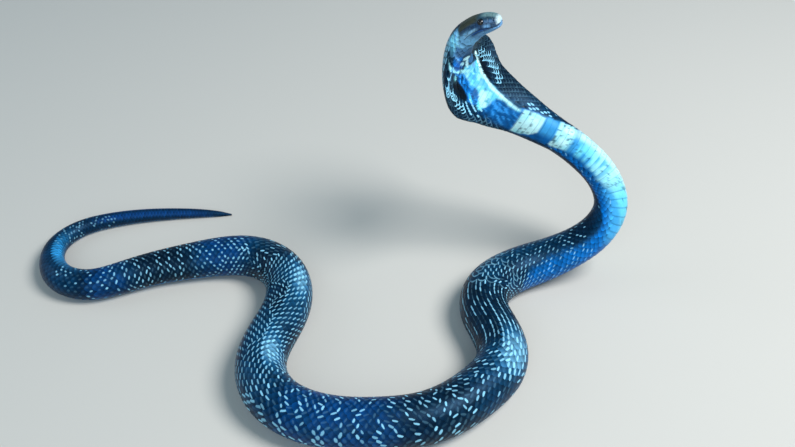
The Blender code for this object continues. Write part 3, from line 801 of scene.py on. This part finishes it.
def make_skin():
    """One closed skin from snout to tail tip, fine on the head and coarser under the coat."""
    stations = HEAD_SKIN_END * np.linspace(0, 1, 156) ** 1.15
    bm, s, g = wrapped_grid(240, stations)
    relief, dark, tone = head_relief(s, g, on_snake(s, g, 0.0))
    sunk = COAT_DEPTH * ramp(0.028, 0.038, s)
    place_points(bm, on_snake(s, g, relief - sunk, SKIN_LOWEST))
    colour = head_colour(s, g, markings(s, g), dark, tone)

    stations = np.r_[HEAD_SKIN_END + 0.0008,
                     np.arange(HEAD_SKIN_END + 0.003, LENGTH, 0.0025), LENGTH]
    body, body_s, body_g = wrapped_grid(112, stations)
    sunk = COAT_DEPTH * np.minimum(1, half_sizes(body_s)[0] / 0.004)
    place_points(body, on_snake(body_s, body_g, -sunk, SKIN_LOWEST))
    joined = mesh_of(body, "body_skin")
    bm.from_mesh(joined)
    bpy.data.meshes.remove(joined)

    s = np.r_[s, body_s]
    colour = np.concatenate([colour, markings(body_s, body_g)])
    order = bm.verts.layers.int.new("order")
    bm.verts.ensure_lookup_table()
    for k, v in enumerate(bm.verts):
        v[order] = k
    # Close each grid round the body, join the two, and close the snout and the tail tip
    bmesh.ops.remove_doubles(bm, verts=bm.verts[:], dist=1e-7)
    rings = {}
    for edge in (e for e in bm.edges if e.is_boundary):
        rings.setdefault(round(float(s[edge.verts[0][order]]), 6), []).append(edge)
    places = sorted(rings)
    bmesh.ops.bridge_loops(bm, edges=rings[places[1]] + rings[places[2]])
    for place in (places[0], places[-1]):
        filled = bmesh.ops.holes_fill(bm, edges=rings[place], sides=0)
        bmesh.ops.poke(bm, faces=filled["faces"])
    bmesh.ops.triangulate(bm, faces=[f for f in bm.faces if len(f.verts) > 4])
    bmesh.ops.recalc_face_normals(bm, faces=bm.faces[:])
    bm.verts.ensure_lookup_table()
    kept = np.array([v[order] for v in bm.verts])
    nodes = [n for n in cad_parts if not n.startswith("eye")]
    skin = as_piece(mesh_of(bm, "skin"), skin_finish(), nodes)
    # Under the scales the skin is darker
    colour = colour * (1 - 0.35 * ramp(0.036, 0.048, s))[:, None]
    keep_values(skin, "markings", colour[kept])


def scale_template(along, across):
    """One scale as a closed plate of few faces, with its places from -1 to 1."""
    bm = bmesh.new()
    bmesh.ops.create_grid(bm, x_segments=across, y_segments=along, size=1.0)
    bmesh.ops.solidify(bm, geom=bm.faces[:], thickness=0.5)
    bmesh.ops.recalc_face_normals(bm, faces=bm.faces[:])
    places = np.array([v.co for v in bm.verts])
    faces = np.array([[v.index for v in f.verts] for f in bm.faces])
    bm.free()
    middle = (places[:, 2].min() + places[:, 2].max()) / 2
    return places[:, 0], places[:, 1], places[:, 2] > middle, faces


def tile(name, finish, template, outline, rows, thickness):
    """Lay one scale at each place on the snake, and join them into one piece.

    outline gives the half width of a scale from its front end, 0, to its rear, 1. rows has
    each scale's place, length, width and lift, and its stroke, if it has one. Thickness is
    counted in lifts.
    """
    across, along, top, faces = template
    s0, g0, length, width, lift = (rows[key] for key in ("s", "g", "length", "width", "lift"))
    # Stations crowd towards the rear, where the free edge is rounded
    u = 1 - (1 - (along + 1) / 2) ** 1.25
    count, size = len(s0), len(u)
    s = s0[:, None] + (u - 0.45) * length[:, None]
    half = np.interp(u, *outline) * across
    g = g0[:, None] + half * width[:, None] / 2 / around_at(s0)[:, None]
    # The front end is sunk under the scales before it, the free rear end stands out, and
    # the middle is domed
    dome = (1 - across ** 2) * np.sin(np.pi * u ** 0.8)
    rise = lift[:, None] * (-1.15 + 1.22 * u ** 0.7 + 0.30 * dome)
    rise = rise - np.where(top, 0.0, 1.0) * lift[:, None] * thickness
    points = on_snake(s, g, rise, 0.0).reshape(-1, 3)
    quads = (faces[None] + np.arange(count)[:, None, None] * size).reshape(-1, 4)
    mesh = bpy.data.meshes.new(name)
    mesh.from_pydata(points, [], quads)
    piece = as_piece(mesh, finish)
    mesh.set_sharp_from_angle(angle=np.radians(50))

    # On the body each scale has one colour; on the neck the markings cut across scales
    if name.startswith("body"):
        colour = np.repeat(markings(s0, g0), size, axis=0)
    else:
        colour = markings(np.clip(s, 0, LENGTH), g).reshape(-1, 3)
    keep_values(piece, "markings", colour)
    keep_values(piece, "along", np.tile(u, count))
    if "pale" in rows:
        keep_values(piece, "pale", np.repeat(rows["pale"], size))
        keep_values(piece, "stroke", stroke_place(rows, u, half, across).reshape(-1, 3))
    tone = np.random.default_rng(SEED + count).random(count)
    keep_values(piece, "tone", np.repeat(tone, size))
    left, bottom = unwrap_place(s0, g0)
    flat_u = left[:, None] + MAP_PATCH / 2 * (2 * u - 1)
    flat_v = bottom[:, None] + MAP_PATCH / 2 * np.broadcast_to(across, s.shape)
    if outline is PLATE_OUTLINE:
        # A belly plate is as wide there as on the snake, so that bands cross it cleanly
        flat_v = unwrap_place(s0[:, None] + 0 * g, g)[1]
    write_map(piece, flat_u.ravel(), flat_v.ravel())


def stroke_place(rows, u, half, across):
    """Where each point of a scale lies in the scale's pale stroke, which reaches out to 1.

    The first number runs across the stroke and the second along it. Where "rim" is set, the
    scale's whole free edge is pale instead.
    """
    side, lean, thick, middle, reach, rim = (rows[key][:, None] for key in (
        "side", "lean", "thick", "middle", "reach", "rim"))
    aside = half * rows["width"][:, None] / 2 * 1000 - side
    behind = (u - middle) * rows["length"][:, None] * 1000
    inward = (1 - np.maximum(np.abs(across), (u - 0.10) / 0.90)) / 0.22
    off = np.where(rim > 0, inward, (aside * np.cos(lean) + behind * np.sin(lean)) / thick)
    far = np.where(rim > 0, 0.0, (behind * np.cos(lean) - aside * np.sin(lean)) / reach)
    return np.stack([off, far, 0 * off], -1)


SCALE_OUTLINE = ([0.0, 0.2, 0.45, 0.7, 0.88, 1.0], [0.30, 0.80, 1.0, 0.90, 0.58, 0.14])
PLATE_OUTLINE = ([0.0, 0.5, 0.9, 1.0], [1.0, 1.0, 1.0, 0.985])
COAT_START = 0.0300          # the first ring of scales


def scale_rings():
    """Distances of the rings of scales from the snout."""
    at, places = COAT_START, []
    while at < LENGTH - 0.004:
        places.append(at)
        at += float(size_at(RING_PITCH, at)) / 1000
    return np.array(places)


def choose_strokes(ring, row, s, g):
    """Each scale's pale stroke: how pale, where on the scale, its lean, width and length.

    Strokes stand in rows across the back. On the front loop they run in lines along it, on
    the next they close up to a net, and further back they thin out to dots. On the hood
    some scales have a pale edge, "rim", in place of a stroke. Sizes are in millimetres,
    "lean" is in radians and "middle" is a share of the scale's length.
    """
    random = np.random.default_rng(SEED + 3)
    chance, bright, vary, other = random.random((4, len(s)))
    mm, side_mm = s * 1000, from_belly(s, g)
    back = around_at(s) * 500 - np.abs(side_mm)
    turned = np.where(patches(ring / 5, row / 4, 12) > 0.5, 1.0, -1.0)
    small = ramp(950, 1000, mm)
    rear = between(1015, 1120, mm, 10)
    lines = between(445, 535, mm, 12)
    # In the painted sheen on top of the bends the strokes crowd closer and grow broader and
    # brighter, as painted glints
    sheen_share = painted_sheen(mm, side_mm)
    dense = np.maximum(between(395, 445, mm, 12), between(770, 925, mm, 14))
    dense = np.maximum(dense, sheen_share)

    # The share of scales that have one, in wavering rows
    wander = (0.9 - 0.4 * small) * patches(ring / 10, row / 8, 11)
    phase = (ring + (0.10 - 0.08 * small) * np.abs(row) + wander) / (2.3 - 0.5 * small)
    phase = np.mod(phase, 1.0)
    share = np.where(phase < 0.28, 0.98, np.where(phase < 0.46 + 0.12 * rear, 0.72, 0.06))
    share = share * (1 - 0.35 * small * (1 - rear))
    share = share * ramp(0.10, 0.24, patches(mm / 16, side_mm / 12, 14))
    share = blend(share, 0.66, between(972, 1022, mm, 12))
    share = blend(share, np.where(np.mod(row, 2) == 0, 0.74, 0.16), lines)
    share = blend(share, 0.92, dense)
    share = np.maximum(share, 0.35 * between(330, 400, mm, 14))
    share = share * between(325, 1165, mm, 25) + 0.14 * between(120, 330, mm, 20)
    share = share + 0.30 * between(1212, 1285, mm, 8)
    drawn = chance < share
    pale = np.where(drawn, 0.50 + 0.50 * bright, 0.12 * bright * between(330, 1165, mm, 25))
    # Strokes are brighter in the painted sheen
    pale = pale * (1 - 0.25 * dense) + 0.35 * sheen_share * drawn
    pale = pale * (1 - 0.45 * ramp(1180, 1215, mm))
    pale = pale * (1 - 0.22 * small - 0.12 * between(560, 760, mm, 20))

    # Low on the flank of the front loop the strokes are broad and bright
    broad = between(590, 780, mm, 20) * ramp(18, 27, back)
    fine = np.maximum(lines, dense)
    thick = (0.72 + 0.22 * vary) * (1 - 0.30 * fine) * (1 + 0.40 * broad) * (1 + 0.12 * small)
    thick = thick * (1 + 0.8 * sheen_share)
    reach = (2.3 + 0.9 * other) * (1 + 0.35 * lines) * (1 - 0.56 * small) * (1 + 0.15 * broad)
    # They are fine and faint where the neck comes down to the floor
    foot = between(120, 400, mm, 14)
    pale, thick = pale * (1 - 0.3 * foot), thick * (1 - 0.3 * foot)
    reach = reach * (1 - 0.4 * foot)
    # On two stretches most of them lie across the snake, and stack into short columns
    column = 0.65 * between(600, 745, mm, 15) + 0.85 * between(1015, 1110, mm, 12)
    across = np.random.default_rng(SEED + 4).random(len(s)) < column
    lean = turned * (0.27 + 0.38 * vary) * (1 - 0.9 * lines) * (1 + 0.5 * small)
    stroke = {"pale": pale, "side": turned * np.where(across, 0.3, 0.9 - 0.6 * lines),
              "lean": np.where(across, turned * (1.0 + 0.45 * vary), lean),
              "thick": np.where(across, thick * (1 - 0.15 * small), thick),
              "middle": 0.76 - 0.08 * lines + 0.02 * small,
              "reach": np.where(across, 0.72 * reach + 1.1 * small, reach),
              "rim": np.zeros(len(s))}

    def within(*tables):
        return np.max([inside(table, mm, side_mm, 0.8) for table in tables], axis=0) > 0.5

    # On the hood, and on top of the first bend, where a few scales have a faint pale edge
    dashes, beads = within(RIGHT_DASHES, LEFT_DASHES), within(RIGHT_RIM)
    edged = (between(404, 450, mm, 10) > 0.5) & (other < 0.24) & (back < 28)
    net = within(RIGHT_NET, LEFT_NET)
    throat = np.maximum(inside(BLUE_THROAT, mm, side_mm), dark_spots(mm, side_mm))
    spread = (throat < 0.3) & (mm < 190) & (size_at(WINGS, s) > 4) & ~(net | dashes | beads)
    low = between(102, 140, mm, 6) * ramp(-20, -25, side_mm)
    for here, own in (
            (dashes, {"pale": (0.7 + 0.3 * bright) * (chance < 0.8), "side": 0.0,
                      "lean": 0.6 * (side_mm < 0), "thick": 0.85, "reach": 1.9}),
            (beads, {"pale": 0.8 + 0.2 * bright, "side": 0.0, "lean": 0.0, "thick": 1.5,
                     "reach": 1.9}),
            (edged, {"pale": 0.18 + 0.30 * bright, "rim": 1.0}),
            (net, {"pale": np.where(side_mm > 0, 0.65 + 0.35 * bright, 1.0), "rim": 1.0}),
            (spread, {"pale": 0.02 + 0.09 * bright + 0.09 * low, "rim": 1.0})):
        for name, value in own.items():
            stroke[name] = np.where(here, value, stroke[name])
    return stroke


# How long a scale is against the step from ring to ring, and how wide against the room in
# its row, where every second place is left free. Plates overlap less.
SCALE_OVERLAP = 1.48
SCALE_FILL = 2.04
PLATE_OVERLAP = 1.30
PLATE_FILL = 1.03
NAPE = 0.0315                # the first scales over the neck; at its sides they begin later
CHIN_END = 0.0445            # the first belly plate
BARE_TIP = 0.003             # the tail's tip has no scales
# The pieces that the coat of scales is made in, each from one distance to the next
COAT = (("hood_scales", 0.0, 0.20), ("forebody_scales", 0.20, 0.42),
        ("body_scales_1", 0.42, 0.66), ("body_scales_2", 0.66, 0.90),
        ("body_scales_3", 0.90, VENT), ("tail_scales", VENT, LENGTH))


def coat_lift(s):
    """How far scales stand out, less where the snake is thin."""
    return COAT_DEPTH * np.minimum(1.0, half_sizes(s)[0] / 0.009)


def lay_scales():
    """Small overlapping scales over the back and sides, in slanting rows."""
    found = []
    for i, near in enumerate(scale_rings()):
        step = float(size_at(RING_PITCH, near)) / 1000
        for half in (0, 1):
            at = near + half * step / 2
            if at > LENGTH - BARE_TIP:
                continue
            girth, plate = float(around_at(at)), float(plate_half(at))
            space = (girth - 2 * plate) / float(size_at(SCALE_ROWS, at))
            most = int(girth / 2 / space)
            row = np.arange(-most, most + 1)
            row = row[(row + half) % 2 == 0]
            share = row * space / girth
            side = (np.mod(share, 1.0) - 0.5) * girth
            # The belly plates and the head's shields stay free
            clear = np.abs(side - plate_middle(at)) > plate + 0.25 * space
            clear &= at > NAPE + 0.004 * ramp(0.1, 0.25, np.abs(share))
            for k, g in zip(row[clear], share[clear]):
                found.append((i + half / 2, k, at, g % 1.0, step, space))
    ring, row, s0, g0, pitch, space = np.array(found).T
    jitter = np.random.default_rng(SEED + 1).uniform(-0.03, 0.03, (2, len(s0)))
    # Over the spread hood the scales part, and skin shows between them
    full = SCALE_FILL * space
    width = np.where(s0 > 0.21, full, np.minimum(full, 0.0048 + 0.5 * space))
    rows = {"s": s0, "g": g0, "length": pitch * SCALE_OVERLAP * (1 + jitter[0]),
            "width": width * (1 + jitter[1]), "lift": coat_lift(s0),
            **choose_strokes(ring, row, s0, g0)}
    template, finish = scale_template(5, 4), scale_finish()
    for name, start, end in COAT:
        here = (s0 >= start) & (s0 < end)
        tile(name, finish, template, SCALE_OUTLINE,
             {key: value[here] for key, value in rows.items()}, 0.65)


def lay_plates():
    """Broad belly plates, one a ring, and two side by side under the tail."""
    rings = scale_rings()
    rings = rings[rings > CHIN_END]
    pitch, lift = size_at(RING_PITCH, rings) / 1000, coat_lift(rings)
    trunk, tail = rings < VENT, rings >= VENT
    finish = plate_finish()
    s0 = rings[trunk]
    rows = {"s": s0, "g": 0.5 + plate_middle(s0) / around_at(s0),
            "length": PLATE_OVERLAP * pitch[trunk],
            "width": 2 * PLATE_FILL * plate_half(s0), "lift": lift[trunk]}
    tile("belly_plates", finish, scale_template(4, 24), PLATE_OUTLINE,
         rows, 0.5)
    side = np.tile([-1, 1], tail.sum())
    pitch = np.repeat(pitch[tail], 2)
    s0 = np.repeat(rings[tail], 2) + 0.25 * pitch * side
    half = plate_half(s0)
    rows = {"s": s0, "g": 0.5 + side * half / 2 / around_at(s0),
            "length": PLATE_OVERLAP * pitch, "width": 1.06 * half, "lift": np.repeat(lift[tail], 2)}
    tile("tail_plates", finish, scale_template(4, 8), PLATE_OUTLINE,
         rows, 0.5)


def make_eyes():
    """A dark, wet ball under the clear scale of each eye."""
    finish = eye_finish()
    for side, angle in (("right", EYE_ANGLE), ("left", 2 * np.pi - EYE_ANGLE)):
        low, high = (np.array(corner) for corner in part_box("eye_" + side))
        bm = bmesh.new()
        bmesh.ops.create_uvsphere(bm, u_segments=40, v_segments=28, radius=EYE_RADIUS)
        places = np.array([v.co for v in bm.verts])
        bmesh.ops.translate(bm, verts=bm.verts[:], vec=(low + high) / 2)
        eye = as_piece(mesh_of(bm, "eyeball_" + side), finish, ["eye_" + side])
        # A dark pupil, a brown ring round it and a dark iris, by the angle off the eye's axis
        out = head_spot(EYE_FROM_SNOUT, angle)[1]
        off = np.degrees(np.arccos(np.clip(unit(places) @ out, -1, 1)))
        keep_values(eye, "markings", paint(
            linear("050608"), ("140D0A", between(19, 42, off, 2.5)),
            ("5A4326", between(19, 22, off, 1.5) * 0.5)))


# ---------------------------------------------------------------- finishes


def join(tree, node, links):
    """Feed a node's sockets from other nodes."""
    for name, source in links.items():
        tree.links.new(source, node.inputs[name])


def add(tree, kind, settings, links=None):
    """Add a node with its settings and what feeds its sockets, and give what it puts out."""
    node = tree.nodes.new("ShaderNode" + kind)
    for name, value in settings.items():
        if isinstance(name, int) or name in node.inputs:
            node.inputs[name].default_value = value
        else:
            setattr(node, name, value)
    join(tree, node, links or {})
    return node.outputs


def new_finish(name, settings, stored=()):
    """A material, its nodes, its shader with plain settings, and values stored on a piece."""
    material = bpy.data.materials.new(name)
    material.use_nodes = True
    tree = material.node_tree
    shader = tree.nodes["Principled BSDF"]
    for socket, value in settings.items():
        shader.inputs[socket].default_value = value
    return material, tree, shader, [add(tree, "Attribute", {"attribute_name": name})
                                    for name in stored]


def grained(tree, shader, scale, detail, rough, raised, height):
    """Grain through a whole finish, that varies its roughness and stands out a little.

    Gives the grain, so that the colour follows it too.
    """
    place = add(tree, "TexCoord", {})
    grain = add(tree, "TexNoise", {"Scale": scale, "Detail": detail},
                {"Vector": place["Object"]})["Fac"]
    gloss = add(tree, "MapRange", {"To Min": rough[0], "To Max": rough[1]}, {"Value": grain})
    relief = add(tree, "Bump", {"Strength": raised, "Distance": height}, {"Height": grain})
    join(tree, shader, {"Roughness": gloss["Result"], "Normal": relief["Normal"]})
    return grain


# A mix node's colours are its sockets 6 and 7, and its mixed colour is its output 2
TIMES = {"data_type": "RGBA", "blend_type": "MULTIPLY", 0: 1.0}


def shaded(tree, colour, value, settings):
    """Multiply a colour by a value, which a map range node stretches first."""
    factor = add(tree, "MapRange", settings, {"Value": value})
    return add(tree, "Mix", TIMES, {6: colour, 7: factor["Result"]})[2]


def scale_finish():
    """Keratin scale, smooth and glossy: each one glints, and flecked ones bear a pale stroke."""
    material, tree, shader, (colour, pale, stroke, along, tone) = new_finish(
        "glossy_keratin_scale",
        {"IOR": 1.54, "Specular IOR Level": 0.24, "Specular Tint": (*linear("8CCBFF"), 1)},
        ("markings", "pale", "stroke", "along", "tone"))
    # Mottle about 1.5 mm across within a scale
    cloud = grained(tree, shader, 650.0, 3.0, (0.32, 0.50), 0.25, 0.0002)
    toned = shaded(tree, colour["Color"], tone["Fac"], {"To Min": 0.75, "To Max": 1.30})
    # The hidden front of a scale is darker, painted shade under the one that lies over it,
    # which outlines that scale; the free rear edge is lighter, partly a paler margin and partly a
    # painted highlight
    toned = shaded(tree, toned, along["Fac"], {
        "From Min": 0.30, "From Max": 0.95, "To Min": 0.35, "To Max": 1.55})
    # The stroke reaches out to 1, and its edge is ragged
    far = add(tree, "VectorMath", {"operation": "LENGTH"}, {0: stroke["Vector"]})
    ragged = add(tree, "Math", {"operation": "MULTIPLY_ADD", 1: 0.9, 2: -0.45}, {0: cloud})
    edge = add(tree, "Math", {"operation": "ADD"}, {0: far["Value"], 1: ragged[0]})
    mask = add(tree, "MapRange",
               {"interpolation_type": "SMOOTHSTEP", "From Min": 1.25, "From Max": 0.75},
               {"Value": edge[0]})
    share = add(tree, "Math", {"operation": "MULTIPLY"}, {0: mask["Result"], 1: pale["Fac"]})
    mixed = add(tree, "Mix", {"data_type": "RGBA", 7: (*linear("98DAF0"), 1)},
                {0: share[0], 6: toned})
    join(tree, shader, {"Base Color": mixed[2]})
    return material


def plate_finish():
    """Belly plate, broad smooth keratin: satin, with a thin dark line at each rear edge."""
    material, tree, shader, (colour, along, tone) = new_finish(
        "satin_belly_plate",
        {"IOR": 1.52, "Specular IOR Level": 0.30, "Specular Tint": (*linear("9CD6FF"), 1)},
        ("markings", "along", "tone"))
    # Grain about 2 mm long, drawn coarser than the real one
    grain = grained(tree, shader, 480.0, 4.0, (0.30, 0.46), 0.2, 0.0002)
    toned = shaded(tree, colour["Color"], tone["Fac"], {"To Min": 0.86, "To Max": 1.10})
    mottled = shaded(tree, toned, grain, {"To Min": 0.82, "To Max": 1.12})
    line = add(tree, "MapRange",
               {"From Min": 0.86, "From Max": 0.97, "To Min": 0.0, "To Max": 0.40},
               {"Value": along["Fac"]})
    lined = add(tree, "Mix", {"data_type": "RGBA", 7: (*linear("1B5C86"), 1)},
                {0: line["Result"], 6: mottled})
    join(tree, shader, {"Base Color": lined[2]})
    return material


def skin_finish():
    """Living skin between the scales and on the head's shields: softer than the scales."""
    material, tree, shader, (colour,) = new_finish(
        "soft_snake_skin", {"IOR": 1.48, "Specular IOR Level": 0.32}, ("markings",))
    # Mottle about 1 mm across
    cloud = grained(tree, shader, 900.0, 4.0, (0.30, 0.48), 0.2, 0.00015)
    toned = shaded(tree, colour["Color"], cloud, {"To Min": 0.72, "To Max": 1.25})
    join(tree, shader, {"Base Color": toned})
    return material


def eye_finish():
    """Eye under its clear scale: near black with a sharp wet glint."""
    material, tree, shader, (colour,) = new_finish(
        "wet_dark_eye",
        {"Roughness": 0.05, "IOR": 1.42, "Coat Weight": 0.5, "Coat Roughness": 0.02},
        ("markings",))
    join(tree, shader, {"Base Color": colour["Color"]})
    return material


# ---------------------------------------------------------------- studio


def aimed(direction):
    """Turn a lamp's -Z towards a direction."""
    x, y, z = direction
    return (np.arctan2(np.hypot(x, y), -z), 0.0, np.arctan2(y, x) - np.pi / 2)


def set_studio():
    """Camera at the photo's angle, 39 degrees above level, a pale floor and soft lamps."""
    lens = bpy.data.cameras.new("camera")
    lens.lens, lens.sensor_width = 43.79, 36.0
    lens.clip_start, lens.clip_end = 0.01, 20.0
    camera = show("camera", lens)
    camera.location = (0.068 + PLACE[0], -0.65 + PLACE[1], 0.64)
    camera.rotation_euler = (np.radians(51.0), 0.0, 0.0)
    bpy.context.scene.camera = camera
    bpy.context.scene.view_settings.view_transform = "Standard"

    bm = bmesh.new()
    bmesh.ops.create_grid(bm, x_segments=1, y_segments=1, size=6.0)
    mesh = mesh_of(bm, "floor")
    mesh.materials.append(new_finish("pale_studio_floor", {
        "Base Color": (*linear("CFC8BB"), 1), "Roughness": 0.85})[0])
    show("floor", mesh)

    # Lamps aimed at the middle of the snake: name, place, size, power and colour
    middle = np.array([0.05, 0.0, 0.08])
    for name, place, size, power, colour in (
            ("key", (1.25, -0.25, 1.75), 1.1, 50.0, "F4F8FF"),
            ("front", (-0.2, -1.9, 1.2), 1.6, 15.0, "E6F4FF"),
            ("left", (-1.8, 0.4, 1.1), 1.4, 6.0, "DCEEFF")):
        light = bpy.data.lights.new(name, "AREA")
        light.shape, light.size, light.energy = "DISK", size, power
        light.color = linear(colour)
        lamp = show(name, light)
        lamp.location = place
        lamp.rotation_euler = aimed(middle - np.array(place))
    world = bpy.data.worlds.new("soft_room")
    world.use_nodes = True
    sky = world.node_tree.nodes["Background"].inputs
    sky["Color"].default_value = (*linear("A2D4F9"), 1)
    sky["Strength"].default_value = 0.33
    bpy.context.scene.world = world


set_studio()
make_skin()
lay_scales()
lay_plates()
make_eyes()
